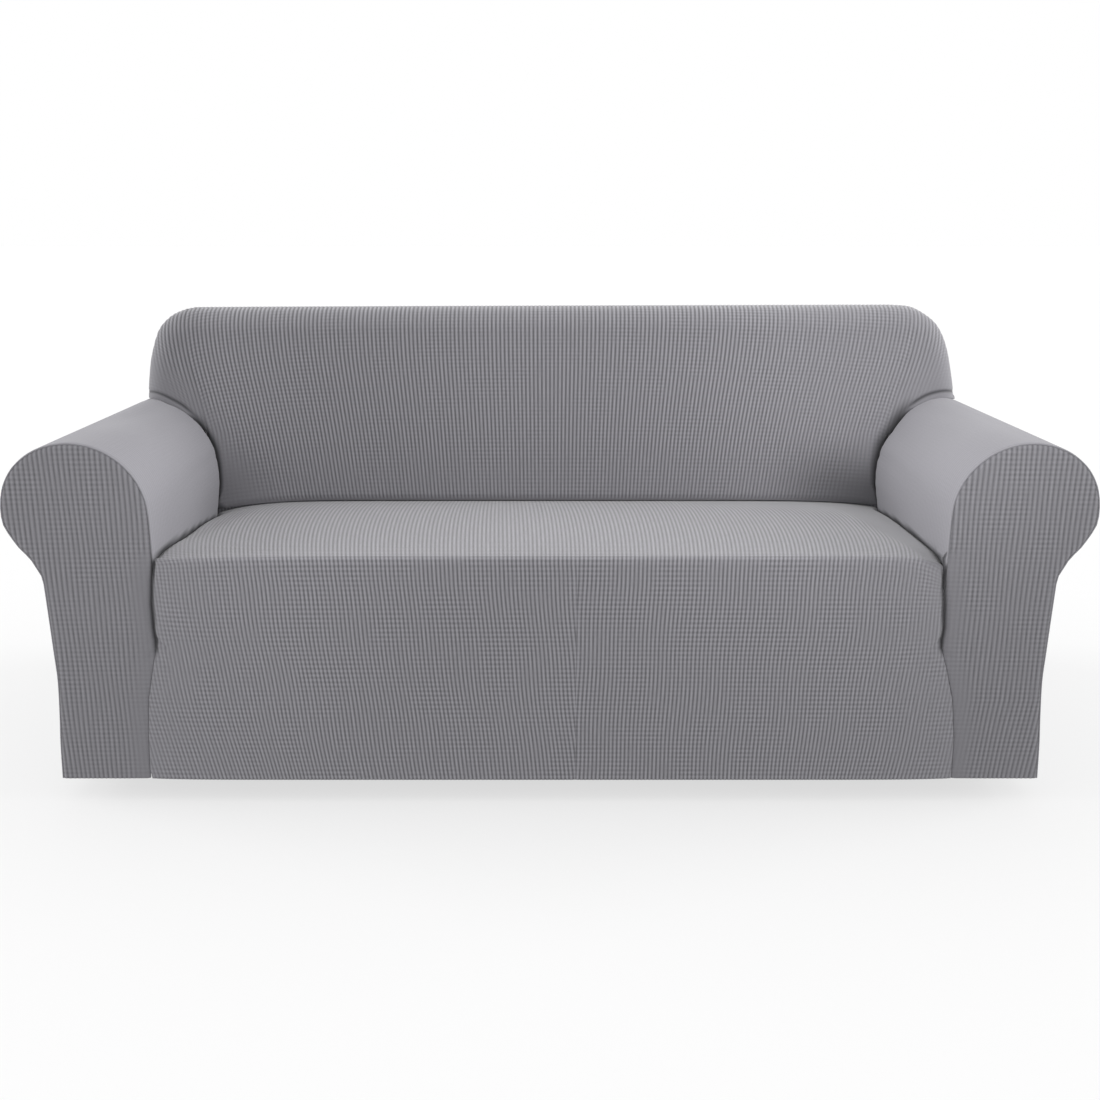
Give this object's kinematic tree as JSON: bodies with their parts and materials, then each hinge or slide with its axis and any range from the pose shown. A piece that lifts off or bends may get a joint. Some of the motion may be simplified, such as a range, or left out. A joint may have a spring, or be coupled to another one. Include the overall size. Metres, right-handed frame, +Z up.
{
  "type": "sofa slipcover",
  "caption": "Fitted stretch slipcover in ribbed knit for a rolled-arm sofa: seat and apron, back, arms and scroll fronts, hollow and open at the hem.",
  "frame": {"origin": "underside of the cloth at the middle of the back's top edge, where the sofa's back carries the cover", "axes": "+X along the sofa towards its left arm as seen by a sitter (right in the front view), +Y to the rear, +Z up"},
  "size_m": [1.9525, 0.89, 0.8318],
  "materials": {
    "ribbed_knit_front": "matte grey ribbed stretch knit with a fine check between the ribs",
    "ribbed_knit_top": "matte grey ribbed stretch knit, ribs drawn flatter over the seat and arms"
  },
  "bodies": {
    "root": {"seat_panel": "ribbed_knit_top", "back_panel": "ribbed_knit_front", "outside_back": "ribbed_knit_front", "arm_panel_left": "ribbed_knit_top", "arm_panel_right": "ribbed_knit_top", "arm_front_left": "ribbed_knit_front", "arm_front_right": "ribbed_knit_front"}
  },
  "joints": []
}
